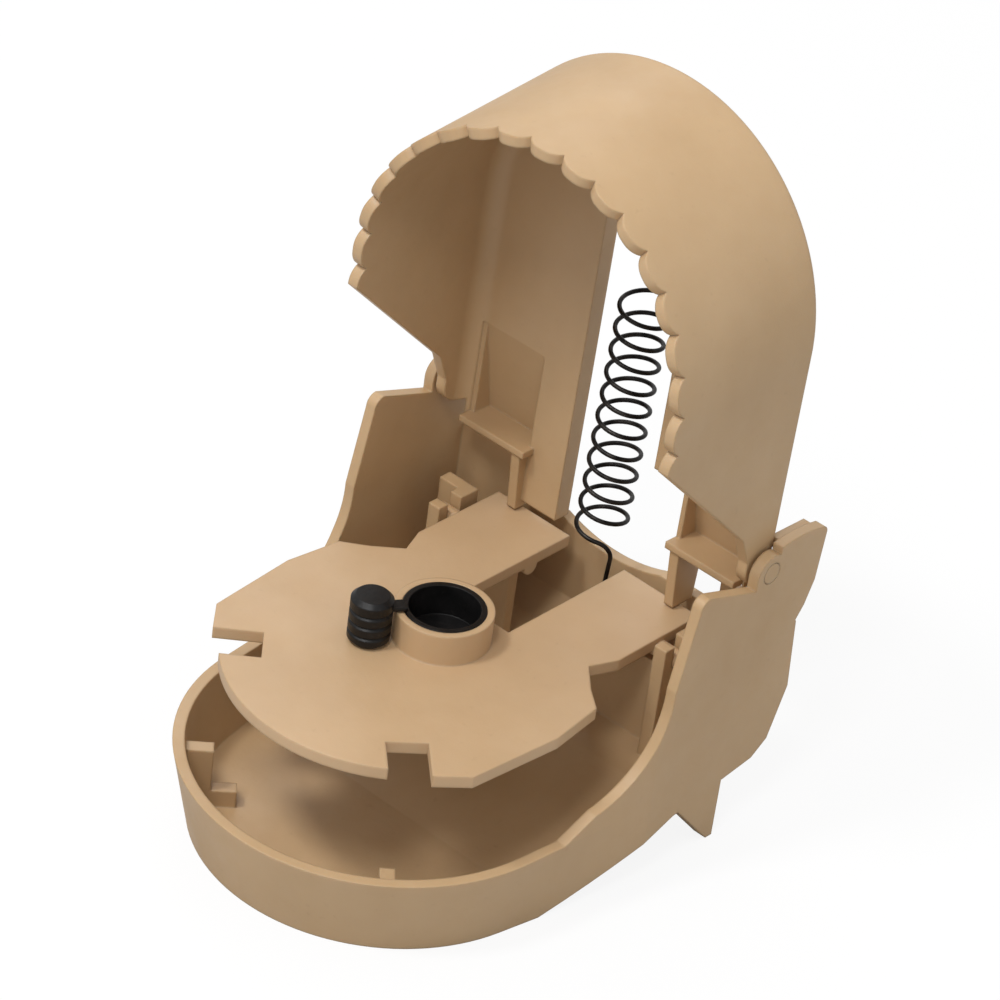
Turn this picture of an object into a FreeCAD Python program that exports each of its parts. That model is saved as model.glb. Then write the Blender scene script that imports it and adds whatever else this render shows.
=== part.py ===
import FreeCAD, Part
import math
import os
import re
import Sketcher

# Snap trap for mice: a boat-shaped tray, a hooded jaw that swings down over it, a treadle
# with a bait pot, and one tension spring that pulls the jaw past its hinge.
# X is across the trap, Y runs from its round front to its back, and Z is up from the table.
# Outlines are written from the centre of the tray's round front. The pieces are then moved
# along Y so that the middle of the whole trap is the origin.

SIZES = {
    # Tray: plan and walls
    "tray_rim_radius": 22.5,
    "side_flare": 1.5,
    "trap_half_width": "tray_rim_radius + side_flare",
    "tray_foot_radius": 21.0,
    "tray_foot_setback": 0.8,
    "flare_end": 15.0,
    "tray_wall": 1.3,
    "tray_floor": 1.3,
    "rim_height": 9.8,
    # Tray: keel line, from the flat front to the back of the cheeks
    "keel_start": 2.0,
    "keel_knee_y": 19.4,
    "keel_knee_z": 6.3,
    "heel_y": 31.8,
    "heel_z": 8.1,
    "stern_low_y": 34.0,
    "stern_low_z": 9.7,
    "stern_mid_y": 36.1,
    "stern_mid_z": 15.8,
    "stern_top_y": 35.4,
    "stern_top_z": 24.6,
    # Tray: cheeks
    "rim_turn_y": 3.0,
    "rim_ramp_y": 7.0,
    "rim_ramp_z": 12.1,
    "cheek_sweep_radius": 11.8,
    "cheek_waist_y": 16.2,
    "cheek_waist_z": 24.0,
    "cheek_front_y": 18.1,
    "cheek_height": 34.6,
    "cheek_corner": 1.3,
    "cheek_back_y": 32.0,
    "cheek_back_z": 30.4,
    # Tray: rear wall, feet and ears
    "rear_wall_y": 33.2,
    "rear_wall_top": 21.9,
    "rear_dip_depth": 1.4,
    "rear_dip_radius": 19.0,
    "rear_shoulder_x": 15.2,
    "rear_shoulder_top": 25.6,
    "foot_front_y": 19.7,
    "foot_tip_y": 26.0,
    "foot_tip_length": 1.0,
    "foot_thickness": 1.6,
    "ear_root_z": 36.2,
    "ear_tip_y": 38.0,
    "ear_tip_z": 36.0,
    "ear_tip_radius": 0.9,
    "ear_side_y": 37.4,
    "ear_side_z": 29.2,
    "ear_low_y": 36.3,
    "ear_low_z": 26.4,
    "ear_thickness": 2.6,
    "ear_bevel": 0.35,
    "ear_back_radius": 16.0,
    "lobe_front_z": 34.6,
    "lobe_low_z": 32.2,
    "stop_gap": 0.06,
    # Tray: gussets, bearing blocks and spring post
    "gusset_angle": 45.0,
    "gusset_thickness": 1.6,
    "gusset_inner": 18.0,
    "gusset_toe": 15.2,
    "gusset_height": 8.6,
    "gusset_toe_height": 3.4,
    "bearing_inner_x": 15.7,
    "bearing_thickness": 1.6,
    "bearing_front_y": 22.6,
    "bearing_wall_y": 27.2,
    "bearing_wall_thickness": 1.6,
    "bearing_wall_x": 20.0,
    "bearing_height": 22.4,
    "web_inner_x": 6.1,
    "web_y": 25.0,
    "web_thickness": 1.3,
    "web_height": 18.8,
    "spring_post_x": 1.8,
    "spring_post_y": 28.8,
    "spring_post_z": 11.0,
    "spring_peg_radius": 0.9,
    "spring_peg_length": 2.2,
    "spring_post_half_width": 1.6,
    "spring_post_thickness": 1.3,
    # Jaw hinge
    "hinge_y": 29.4,
    "hinge_z": 33.4,
    "hinge_pin_radius": 1.2,
    "hinge_play": 0.06,
    "hinge_boss_radius": 2.2,
    # Jaw
    "jaw_side_gap": 0.45,
    "jaw_wall": 1.3,
    "jaw_reach": 47.4,
    "jaw_depth": 21.2,
    "jaw_lean": 1.7,
    "jaw_rise": 7.0,
    "plate_back": 2.2,
    "plate_thickness": 0.9,
    "plate_bottom": 4.2,
    "plate_edge_radius": 0.8,
    "plate_corner_radius": 2.0,
    "leg_corner_z": 18.3,
    "leg_notch_y": 3.7,
    "leg_notch_z": 4.5,
    "leg_end_radius": 2.2,
    "leg_trim": 2.0,
    "tooth_count": 16,
    "tooth_crest": 0.6,
    "tooth_depth": 1.1,
    "slot_half_width": 5.9,
    "slot_top": 33.0,
    "slot_rib": 1.2,
    "slot_rib_back": 3.5,
    "slot_rib_drop": 10.4,
    "plate_relief_x": 10.3,
    "plate_relief_top": 2.8,
    "spring_bar_z": 24.1,
    "spring_bar_back": 2.7,
    "spring_bar_radius": 0.8,
    "spring_bar_end_x": 3.4,
    "shelf_side_gap": 0.45,
    "shelf_front": 0.4,
    "shelf_thickness": 0.8,
    "shelf_bend_z": 8.0,
    "shelf_wall_back": 3.8,
    "shelf_wall_thickness": 1.1,
    "return_thickness": 1.2,
    "finger_inset": 0.6,
    "finger_thickness": 1.2,
    "finger_front": 0.2,
    "finger_back": 4.1,
    "finger_tip_front": 0.5,
    "finger_tip_back": 3.7,
    "finger_gap": 0.25,
    # Treadle
    "treadle_top": 21.8,
    "treadle_thickness": 1.4,
    "treadle_front_radius": 18.6,
    "treadle_pivot_y": 25.0,
    "treadle_pin_radius": 1.0,
    "treadle_pin_play": 0.06,
    "treadle_pin_drop": 0.1,
    "treadle_pin_end": 0.3,
    "notch_angle": 42.0,
    "notch_half_width": 2.2,
    "notch_inner": 14.06,
    "prong_radius": 19.4,
    "prong_tip_x": 18.6,
    "prong_tip_y": 8.2,
    "side_front_x": 18.8,
    "side_front_y": 6.0,
    "side_mid_x": 19.6,
    "side_mid_y": 3.3,
    "side_back_x": 18.7,
    "side_back_y": 10.2,
    "shoulder_x": 16.1,
    "shoulder_y": 12.2,
    "arm_neck_x": 13.3,
    "arm_neck_y": 15.0,
    "arm_outer_x": 14.6,
    "arm_outer_y": 18.3,
    "arm_end_y": 31.0,
    "window_half_width": 4.0,
    "window_front_y": 12.6,
    # Bait pot and its cap
    "pot_y": 6.5,
    "boss_radius": 5.3,
    "boss_top": 25.5,
    "pot_radius": 4.45,
    "pot_play": 0.05,
    "pot_seat": 0.6,
    "pot_wall": 0.6,
    "pot_floor": 0.8,
    "cap_x": -4.4,
    "cap_y": 0.0,
    "cap_radius": 2.3,
    "cap_height": 5.7,
    "cap_grooves": 3,
    "cap_groove": 0.25,
    "cap_groove_pitch": 1.3,
    "cap_edge": 0.5,
    "strap_width": 1.6,
    "strap_thickness": 0.4,
    # Spring
    "wire_radius": 0.25,
    "coil_radius": 2.7,
    "coil_turns": 10,
    "coil_low_lead": 0.35,
    "coil_high_lead": 0.25,
    "coil_low_x": 0.1,
    "coil_low_y": 30.85,
    "coil_low_z": 25.9,
    "coil_high_x": 0.2,
    "coil_high_y": 32.4,
    "coil_high_z": 52.9,
    "spring_top_x": 4.6,
    "spring_play": 0.1,
    "tail_bend_x": 3.0,
    "tail_bend_y": 29.5,
    "tail_bend_z": 23.3,
    # Cutting shapes run past what they cut, and pads sink into what carries them
    "overrun": 5.0,
    "root_depth": 1.0,
}

DOC = FreeCAD.newDocument("MouseTrap")
SHEET = DOC.addObject("Spreadsheet::Sheet", "Sizes")
# How far an edge may lie from the plane it is looked for on
NEAR = 0.01
# Directions that differ by less than this are the same
SAME_WAY = 1e-6
# Points taken on each arc of the wire when its gaps are measured
ARC_SAMPLES = 4
WORD = re.compile(r"[a-z_]+")


def fill_sheet():
    """Writes every driving size into the sheet, its name beside it."""
    for row, (name, value) in enumerate(SIZES.items(), start=1):
        SHEET.set(f"A{row}", name)
        SHEET.set(f"B{row}", f"={value}" if isinstance(value, str) else str(value))
        SHEET.setAlias(f"B{row}", name)
    DOC.recompute()


def bound(text):
    """The expression with each size's name pointing at the sheet."""
    return WORD.sub(lambda word: "Sizes." + word.group() if word.group() in SIZES else word.group(), text)


def value(text):
    """The number that an expression of sizes comes to."""
    result = SHEET.evalExpression(bound(text))
    return float(getattr(result, "Value", result))


def bind(target, path, text):
    """Ties a property to an expression of sizes."""
    target.setExpression(path, bound(text))


def new_body(name, x="0", y="0", z="0"):
    """A piece whose local zero lies at the given place of the tray's outlines."""
    body = DOC.addObject("PartDesign::Body", name)
    body.Label = name
    bind(body, "Placement.Base.x", x)
    bind(body, "Placement.Base.y", f"({y}) - (ear_tip_y - tray_rim_radius) / 2")
    bind(body, "Placement.Base.z", z)
    return body


def origin_plane(body, role):
    """One of the body's own origin planes."""
    return next(item for item in body.Origin.OriginFeatures if item.Role == role)


def new_sketch(body, name, role, lift="0", turn=None):
    """An empty sketch on an origin plane, moved along its normal by lift or turned about its v."""
    sketch = body.newObject("Sketcher::SketchObject", name)
    sketch.AttachmentSupport = [(origin_plane(body, role), "")]
    sketch.MapMode = "FlatFace"
    bind(sketch, "AttachmentOffset.Base.z", lift)
    if turn is not None:
        bind(sketch, "AttachmentOffset.Rotation.Axis.x", "0")
        bind(sketch, "AttachmentOffset.Rotation.Axis.y", "1")
        bind(sketch, "AttachmentOffset.Rotation.Axis.z", "0")
        bind(sketch, "AttachmentOffset.Rotation.Angle", turn)
    return sketch


def place_point(sketch, edge, end, u, v):
    """Holds one end of an edge at the distances u and v from the sketch's zero."""
    for kind, text in (("DistanceX", u), ("DistanceY", v)):
        index = sketch.addConstraint(Sketcher.Constraint(kind, -1, 1, edge, end, value(text)))
        bind(sketch, f"Constraints[{index}]", text)


def arc_between(start, end, radius):
    """The shorter arc from start to end. A positive radius turns left."""
    chord = end - start
    left = FreeCAD.Vector(-chord.y, chord.x, 0).normalize()
    height = math.sqrt(max(radius ** 2 - (chord.Length / 2) ** 2, 0.0))
    centre = (start + end) * 0.5 + left * math.copysign(height, radius)
    first, last = (start, end) if radius > 0 else (end, start)
    angles = [math.atan2(point.y - centre.y, point.x - centre.x) for point in (first, last)]
    circle = Part.Circle(centre, FreeCAD.Vector(0, 0, 1), abs(radius))
    return Part.ArcOfCircle(circle, angles[0], angles[1])


def add_outline(sketch, corners):
    """A closed outline. A corner is (u, v), or (u, v, radius) where an arc leads to it."""
    points = [FreeCAD.Vector(value(corner[0]), value(corner[1]), 0) for corner in corners]
    first = sketch.GeometryCount
    count = len(corners)
    starts = []
    for index in range(count):
        after = (index + 1) % count
        target = corners[after]
        start, end = points[index], points[after]
        if len(target) == 3:
            radius = value(target[2])
            sketch.addGeometry(arc_between(start, end, radius), False)
            limit = Sketcher.Constraint("Radius", first + index, abs(radius))
            bind(sketch, f"Constraints[{sketch.addConstraint(limit)}]", f"abs({target[2]})")
            starts.append(1 if radius > 0 else 2)
        else:
            sketch.addGeometry(Part.LineSegment(start, end), False)
            starts.append(1)
    for index in range(count):
        after = (index + 1) % count
        edge, following = first + index, first + after
        link = Sketcher.Constraint("Coincident", edge, 3 - starts[index], following, starts[after])
        sketch.addConstraint(link)
        place_point(sketch, edge, starts[index], corners[index][0], corners[index][1])


def outline_sketch(body, name, role, corners, lift="0", turn=None):
    """A sketch of one closed outline."""
    sketch = new_sketch(body, name, role, lift, turn)
    add_outline(sketch, corners)
    return sketch


def circle_sketch(body, name, role, u, v, radius, lift="0"):
    """A sketch of one circle."""
    sketch = new_sketch(body, name, role, lift)
    centre = FreeCAD.Vector(value(u), value(v), 0)
    sketch.addGeometry(Part.Circle(centre, FreeCAD.Vector(0, 0, 1), value(radius)), False)
    index = sketch.addConstraint(Sketcher.Constraint("Radius", 0, value(radius)))
    bind(sketch, f"Constraints[{index}]", radius)
    place_point(sketch, 0, 3, u, v)
    return sketch


def box_corners(u_low, u_high, v_low, v_high):
    """The four corners of an upright rectangle."""
    return [(u_low, v_low), (u_high, v_low), (u_high, v_high), (u_low, v_high)]


def both_sides(corners):
    """Joins the right half of an outline, given from front to back, to its mirror image."""
    mirrored = []
    count = len(corners)
    for index in range(count - 1, -1, -1):
        u, v = corners[index][:2]
        following = corners[index + 1] if index + 1 < count else ()
        radius = following[2:] if len(following) == 3 else ()
        mirrored.append((f"-({u})", v) + tuple(radius))
    return corners + mirrored


def extrude(body, kind, name, sketch, length, both=False, back=False, tilt=None):
    """A pad or a pocket of a sketch. tilt is the fall of its direction along Z."""
    feature = body.newObject(f"PartDesign::{kind}", name)
    feature.Profile = sketch
    bind(feature, "Length", length)
    feature.SideType = "Symmetric" if both else "One side"
    feature.Reversed = back
    if tilt is not None:
        feature.UseCustomVector = True
        feature.Direction = FreeCAD.Vector(0, -1, 0)
        bind(feature, "Direction.z", tilt)
        feature.AlongSketchNormal = True
    return feature


def pad(body, name, sketch, length, **options):
    return extrude(body, "Pad", name, sketch, length, **options)


def pocket(body, name, sketch, length, **options):
    return extrude(body, "Pocket", name, sketch, length, **options)


def loft(body, name, sections):
    """A solid with straight sides through a stack of sketches."""
    feature = body.newObject("PartDesign::AdditiveLoft", name)
    feature.Profile = sections[0]
    feature.Sections = sections[1:]
    feature.Ruled = True
    return feature


def mirror(body, name, originals):
    """Repeats features on the other side of the trap."""
    feature = body.newObject("PartDesign::Mirrored", name)
    feature.Originals = originals
    feature.MirrorPlane = (origin_plane(body, "YZ_Plane"), [""])
    body.Tip = feature
    return feature


def combine(body, name, kind, tool):
    """Cuts a body by another body, or keeps what the two share."""
    feature = body.newObject("PartDesign::Boolean", name)
    feature.setObjects([tool])
    feature.Type = kind
    return feature


def fillet(body, name, base, radius, chosen):
    """Rounds those edges of the last feature that the test chooses."""
    DOC.recompute()
    edges = [f"Edge{index}" for index, edge in enumerate(base.Shape.Edges, start=1) if chosen(edge)]
    feature = body.newObject("PartDesign::Fillet", name)
    feature.Base = (base, edges)
    bind(feature, "Radius", radius)
    return feature


def boat_outline(radius, half_width, setback, end):
    """Plan of the tray: two arcs that meet in front, sides that flare out, then a square back."""
    reach = f"(flare_end - {setback})"
    span = f"sqrt(({half_width}) ^ 2 + {reach} ^ 2)"
    angle = f"(atan2({reach}; {half_width}) - acos(({radius}) / {span}))"
    tangent_x = f"({radius}) * cos({angle})"
    tangent_y = f"({setback}) + ({radius}) * sin({angle})"
    return [
        ("0", f"({setback}) - ({radius})", radius),
        (tangent_x, tangent_y, radius),
        (half_width, "flare_end"),
        (half_width, end),
        (f"-({half_width})", end),
        (f"-({half_width})", "flare_end"),
        (f"-({tangent_x})", tangent_y),
    ]


def boat_hull(body, wall, end, low, high):
    """The tray's outside, or with a wall its inside, from below the floor to above the cheeks."""
    rim = f"(tray_rim_radius - {wall})"
    foot = f"(tray_foot_radius - {wall})"
    width = f"(trap_half_width - {wall})"
    levels = [
        ("FootPlan", foot, "tray_foot_setback", low),
        ("RimPlan", rim, "0", "rim_height"),
        ("TopPlan", rim, "0", high),
    ]
    sections = []
    for name, radius, setback, lift in levels:
        plan = boat_outline(radius, width, setback, end)
        sections.append(outline_sketch(body, name, "XY_Plane", plan, lift))
    return loft(body, "Hull", sections)


def side_profile_body(name, corners, width):
    """A slab with the given side view, used to trim a wider shape."""
    body = DOC.addObject("PartDesign::Body", name)
    sketch = outline_sketch(body, "Profile", "YZ_Plane", corners)
    pad(body, "Slab", sketch, width, both=True)
    return body


def tray_side():
    """Side view of the tray and its cheeks."""
    front = "-(tray_rim_radius + overrun)"
    return [
        (front, "0"),
        ("keel_start", "0"),
        ("keel_knee_y", "keel_knee_z"),
        ("heel_y", "heel_z"),
        ("stern_low_y", "stern_low_z"),
        ("stern_mid_y", "stern_mid_z"),
        ("stern_top_y", "stern_top_z"),
        ("cheek_back_y", "cheek_back_z"),
        ("cheek_front_y + cheek_corner", "cheek_height"),
        ("cheek_front_y", "cheek_height - cheek_corner", "cheek_corner"),
        ("cheek_waist_y", "cheek_waist_z"),
        ("rim_ramp_y", "rim_ramp_z", "-cheek_sweep_radius"),
        ("rim_turn_y", "rim_height"),
        (front, "rim_height"),
    ]


def tray_hollow_side():
    """Side view of the tray's hollow, over its floor and before its rear wall."""
    front = "-(tray_rim_radius + overrun)"
    above = "hinge_z + 3 * overrun"
    return [
        (front, "tray_floor"),
        ("keel_start", "tray_floor"),
        ("keel_knee_y", "keel_knee_z + tray_floor"),
        ("heel_y - tray_floor", "heel_z + tray_floor"),
        ("rear_wall_y", "stern_low_z + 2 * tray_floor"),
        ("rear_wall_y", above),
        (front, above),
    ]


def gusset_side():
    """Side view of a stepped rib that points at the centre of the round front."""
    wall_foot = "tray_foot_radius - tray_foot_setback - tray_wall / 2"
    wall_top = "tray_rim_radius - tray_wall"
    return [
        ("gusset_toe", "tray_floor / 2"),
        (wall_foot, "tray_floor / 2"),
        (wall_top, "gusset_height"),
        ("gusset_inner", "gusset_height"),
        ("gusset_inner", "gusset_toe_height"),
        ("gusset_toe", "gusset_toe_height"),
    ]


def make_tray():
    """Tray with cheeks, feet, rear ears, hinge bosses, gussets, treadle bearings and spring post."""
    body = new_body("base_tray")
    top = "hinge_z + 2 * overrun"
    floor_root = "keel_knee_z + tray_floor / 2"
    boat_hull(body, "0", "ear_tip_y", "0", top)
    outside = side_profile_body("TraySide", tray_side(), "2 * (trap_half_width + overrun)")
    combine(body, "KeepSide", "Common", outside)

    hollow = DOC.addObject("PartDesign::Body", "TrayHollow")
    boat_hull(hollow, "tray_wall", "ear_tip_y", "0", top)
    hollow_side = side_profile_body("TrayHollowSide", tray_hollow_side(), "2 * trap_half_width")
    combine(hollow, "KeepHollow", "Common", hollow_side)
    combine(body, "CutHollow", "Cut", hollow)

    behind = [
        ("rear_wall_y", "rear_wall_top"),
        ("rear_wall_y + tray_wall", "rear_wall_top"),
        ("rear_wall_y + tray_wall", "stern_low_z"),
        ("ear_tip_y + overrun", "stern_low_z"),
        ("ear_tip_y + overrun", top),
        ("rear_wall_y", top),
    ]
    sketch = outline_sketch(body, "BehindWall", "YZ_Plane", behind)
    pocket(body, "OpenBack", sketch, "2 * (trap_half_width - tray_wall)", both=True)

    dip = "sqrt(rear_dip_radius ^ 2 - (rear_dip_radius - rear_dip_depth) ^ 2)"
    dip_corners = [
        (dip, "rear_wall_top", "rear_dip_radius"),
        (dip, "rear_wall_top + overrun"),
        (f"-{dip}", "rear_wall_top + overrun"),
        (f"-{dip}", "rear_wall_top"),
    ]
    behind_wall = "-(rear_wall_y + tray_wall + root_depth)"
    sketch = outline_sketch(body, "RearDipOutline", "XZ_Plane", dip_corners, behind_wall)
    pocket(body, "RearDip", sketch, "tray_wall + 2 * root_depth", back=True)

    shoulder = box_corners(
        "rear_shoulder_x",
        "trap_half_width - tray_wall / 2",
        "rear_wall_top - root_depth",
        "rear_shoulder_top",
    )
    sketch = outline_sketch(body, "RearShoulderOutline", "XZ_Plane", shoulder, "-rear_wall_y")
    rear_shoulder = pad(body, "RearShoulder", sketch, "tray_wall", back=True)

    boss = [
        ("hinge_y - hinge_boss_radius", "cheek_back_z - root_depth"),
        ("hinge_y + hinge_boss_radius", "cheek_back_z - root_depth"),
        ("hinge_y + hinge_boss_radius", "hinge_z"),
        ("hinge_y", "hinge_z + hinge_boss_radius", "hinge_boss_radius"),
        ("hinge_y - hinge_boss_radius", "hinge_z", "hinge_boss_radius"),
    ]
    inside = "trap_half_width - tray_wall"
    sketch = outline_sketch(body, "HingeBossOutline", "YZ_Plane", boss, inside)
    hinge_boss = pad(body, "HingeBoss", sketch, "tray_wall")

    ear = [
        ("hinge_y + hinge_boss_radius / 2", "cheek_back_z - root_depth"),
        ("stern_top_y - root_depth", "stern_top_z - root_depth"),
        ("ear_low_y", "ear_low_z"),
        ("ear_side_y", "ear_side_z"),
        ("ear_tip_y", "ear_tip_z - ear_tip_radius"),
        ("ear_tip_y - ear_tip_radius", "ear_tip_z", "ear_tip_radius"),
        ("hinge_y + hinge_boss_radius / 2", "ear_root_z", "ear_back_radius"),
    ]
    sketch = outline_sketch(body, "EarOutline", "YZ_Plane", ear, inside)
    outer_ear = pad(body, "OuterEar", sketch, "tray_wall")

    lean_back = "(ear_root_z - hinge_z) * tan(jaw_lean)"
    plate_rear = f"(hinge_y + plate_back / cos(jaw_lean) + {lean_back} + stop_gap)"
    lobe = [
        (plate_rear, "lobe_front_z"),
        ("ear_side_y - ear_bevel", "lobe_low_z"),
        ("ear_tip_y - ear_tip_radius", "ear_tip_z - ear_bevel"),
        (plate_rear, "ear_root_z - ear_bevel"),
    ]
    sketch = outline_sketch(body, "EarLobeOutline", "YZ_Plane", lobe, inside)
    inner_ear = pad(body, "InnerEar", sketch, "ear_thickness - tray_wall", back=True)

    foot = [
        ("foot_front_y", floor_root),
        ("foot_tip_y", "0"),
        ("foot_tip_y + foot_tip_length", "0"),
        ("foot_tip_y + foot_tip_length", "keel_knee_z + tray_floor"),
    ]
    sketch = outline_sketch(body, "FootOutline", "YZ_Plane", foot, "trap_half_width - foot_thickness")
    side_foot = pad(body, "Foot", sketch, "foot_thickness")

    sketch = outline_sketch(body, "GussetOutline", "XZ_Plane", gusset_side(), turn="-gusset_angle")
    gusset = pad(body, "Gusset", sketch, "gusset_thickness", both=True)

    web = box_corners("web_inner_x", "bearing_inner_x + bearing_thickness / 2", floor_root, "web_height")
    sketch = outline_sketch(body, "WebOutline", "XZ_Plane", web, "-web_y")
    cross_web = pad(body, "CrossWeb", sketch, "web_thickness", both=True)

    bearing = box_corners("bearing_front_y", "bearing_wall_y + root_depth", floor_root, "bearing_height")
    sketch = outline_sketch(body, "BearingOutline", "YZ_Plane", bearing, "bearing_inner_x")
    bearing_web = pad(body, "BearingWeb", sketch, "bearing_thickness")
    wall = box_corners("bearing_inner_x", "bearing_wall_x", floor_root, "bearing_height")
    sketch = outline_sketch(body, "BearingWallOutline", "XZ_Plane", wall, "-bearing_wall_y")
    bearing_wall = pad(body, "BearingWall", sketch, "bearing_wall_thickness", back=True)

    fork = "treadle_pin_radius + treadle_pin_play"
    pivot_z = "(treadle_top - treadle_thickness - treadle_pin_drop)"
    notch = [
        (f"treadle_pivot_y - ({fork})", "bearing_height + root_depth"),
        (f"treadle_pivot_y - ({fork})", pivot_z),
        ("treadle_pivot_y", f"{pivot_z} - ({fork})", fork),
        (f"treadle_pivot_y + {fork}", pivot_z, fork),
        (f"treadle_pivot_y + {fork}", "bearing_height + root_depth"),
    ]
    inner_side = "bearing_inner_x - root_depth"
    sketch = outline_sketch(body, "BearingNotchOutline", "YZ_Plane", notch, inner_side)
    bearing_notch = pocket(body, "BearingNotch", sketch, "bearing_thickness + 2 * root_depth", back=True)
    rear_parts = [rear_shoulder, hinge_boss, outer_ear, inner_ear, side_foot]
    inner_parts = [gusset, cross_web, bearing_web, bearing_wall, bearing_notch]
    mirror(body, "OtherSide", rear_parts + inner_parts)

    post = box_corners(
        "spring_post_y - spring_post_half_width",
        "spring_post_y + spring_post_half_width",
        "heel_z",
        "spring_post_z + spring_post_half_width",
    )
    post_side = "spring_post_x + spring_peg_length / 2"
    sketch = outline_sketch(body, "SpringPostOutline", "YZ_Plane", post, post_side)
    pad(body, "SpringPost", sketch, "spring_post_thickness")
    peg_end = "spring_post_x - spring_peg_length / 2"
    sketch = circle_sketch(
        body, "SpringPegOutline", "YZ_Plane", "spring_post_y", "spring_post_z", "spring_peg_radius",
        peg_end,
    )
    pad(body, "SpringPeg", sketch, "spring_peg_length + spring_post_thickness / 2")

    bore = "hinge_pin_radius + hinge_play"
    sketch = circle_sketch(body, "HingeBoreOutline", "YZ_Plane", "hinge_y", "hinge_z", bore)
    pocket(body, "HingeBore", sketch, "2 * (trap_half_width + overrun)", both=True)
    return body


def hood_corners(wall, bottom):
    """Front view of the hood: two straight legs under a half-round arch, shrunk by wall."""
    half = f"(trap_half_width - tray_wall - jaw_side_gap - {wall})"
    arch = "(jaw_reach - (trap_half_width - tray_wall - jaw_side_gap))"
    return [
        (f"-{half}", bottom),
        (half, bottom),
        (half, arch),
        ("0", f"{arch} + {half}", half),
        (f"-{half}", arch, half),
    ]


def make_jaw():
    """Jaw: a hood with a slotted back plate, set up in its own frame at the hinge axis."""
    body = new_body("jaw", "0", "hinge_y", "hinge_z")
    body.Placement.Rotation = FreeCAD.Rotation(FreeCAD.Vector(1, 0, 0), 0)
    bind(body, "Placement.Rotation.Axis.x", "1")
    bind(body, "Placement.Rotation.Angle", "-jaw_lean")
    half = "(trap_half_width - tray_wall - jaw_side_gap)"
    arch = f"(jaw_reach - {half})"
    front = "(jaw_depth - plate_back)"
    fall = "-tan(jaw_rise)"

    outside = hood_corners("0", "-plate_bottom")
    sketch = outline_sketch(body, "HoodOutline", "XZ_Plane", outside, "-plate_back")
    hood = pad(body, "Hood", sketch, "jaw_depth", tilt=fall)
    rear = value("plate_back")

    def on_rear_rim(edge):
        box = edge.BoundBox
        return box.YMin > rear - NEAR and box.ZMax > 0

    fillet(body, "RoundBack", hood, "plate_edge_radius", on_rear_rim)
    low = "(-plate_bottom - overrun)"
    inside = hood_corners("jaw_wall", low)
    sketch = outline_sketch(body, "CavityOutline", "XZ_Plane", inside, "plate_thickness - plate_back")
    cavity = pocket(body, "Cavity", sketch, "jaw_depth + overrun", tilt=fall)
    plate_face = value("plate_back - plate_thickness")

    def on_plate_corner(edge):
        box = edge.BoundBox
        return box.YMin > plate_face - NEAR and box.YMax < plate_face + NEAR and box.ZMax > 0

    fillet(body, "RoundCorner", cavity, "plate_corner_radius", on_plate_corner)

    lower_front = [
        (f"-{front} - overrun", low),
        ("-leg_end_radius", low),
        ("-leg_end_radius", "leg_end_radius / 2"),
        ("-leg_notch_y", "leg_notch_z"),
        (f"-{front}", "leg_corner_z"),
        (f"-{front} - overrun", "leg_corner_z"),
    ]
    sketch = outline_sketch(body, "LegFrontOutline", "YZ_Plane", lower_front)
    pocket(body, "LegFront", sketch, f"2 * ({half} + overrun)", both=True)

    leg_end = [
        ("-leg_end_radius - overrun", "0"),
        ("-leg_end_radius", "0"),
        ("0", "-leg_end_radius", "leg_end_radius"),
        ("leg_end_radius", "0", "leg_end_radius"),
        ("leg_end_radius + overrun", "0"),
        ("leg_end_radius + overrun", low),
        ("-leg_end_radius - overrun", low),
    ]
    sketch = outline_sketch(body, "LegEndOutline", "YZ_Plane", leg_end, f"{half} - leg_trim")
    leg_trim = pocket(body, "LegEnd", sketch, "leg_trim + overrun", back=True)
    pin_root = f"{half} - jaw_wall / 2"
    sketch = circle_sketch(body, "HingePinOutline", "YZ_Plane", "0", "0", "hinge_pin_radius", pin_root)
    pin = pad(body, "HingePin", sketch, "jaw_wall / 2 + jaw_side_gap + tray_wall")

    face = "(plate_back - plate_thickness)"
    shelf_end = f"({half} - leg_trim - shelf_side_gap)"
    shelf_length = f"{shelf_end} - plate_relief_x"
    behind = "-plate_back - root_depth"
    opening = box_corners("plate_relief_x", shelf_end, low, "shelf_bend_z")
    sketch = outline_sketch(body, "ShelfOpeningOutline", "XZ_Plane", opening, behind)
    shelf_opening = pocket(body, "ShelfOpening", sketch, "plate_thickness + 2 * root_depth", back=True)
    shelf_top = "(shelf_thickness - plate_bottom)"
    wall_back = "shelf_wall_back + shelf_wall_thickness"
    shelf = [
        ("-shelf_front", "-plate_bottom"),
        (wall_back, "-plate_bottom"),
        (wall_back, shelf_top),
        ("plate_back", "shelf_bend_z + shelf_wall_thickness"),
        (face, "shelf_bend_z + shelf_wall_thickness"),
        (face, "shelf_bend_z"),
        ("shelf_wall_back", shelf_top),
        ("-shelf_front", shelf_top),
    ]
    sketch = outline_sketch(body, "ShelfOutline", "YZ_Plane", shelf, "plate_relief_x")
    shelf_pad = pad(body, "Shelf", sketch, shelf_length)
    back_turn = [
        (face, "-plate_bottom"),
        (wall_back, "-plate_bottom"),
        (wall_back, shelf_top),
        ("plate_back", "shelf_bend_z + shelf_wall_thickness"),
        (face, "shelf_bend_z + shelf_wall_thickness"),
    ]
    return_side = "plate_relief_x - return_thickness / 2"
    sketch = outline_sketch(body, "ReturnOutline", "YZ_Plane", back_turn, return_side)
    inner_return = pad(body, "InnerReturn", sketch, "return_thickness")
    outer_side = f"{shelf_end} - return_thickness / 2"
    sketch = outline_sketch(body, "OuterReturnOutline", "YZ_Plane", back_turn, outer_side)
    outer_return = pad(body, "OuterReturn", sketch, "return_thickness")

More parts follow.
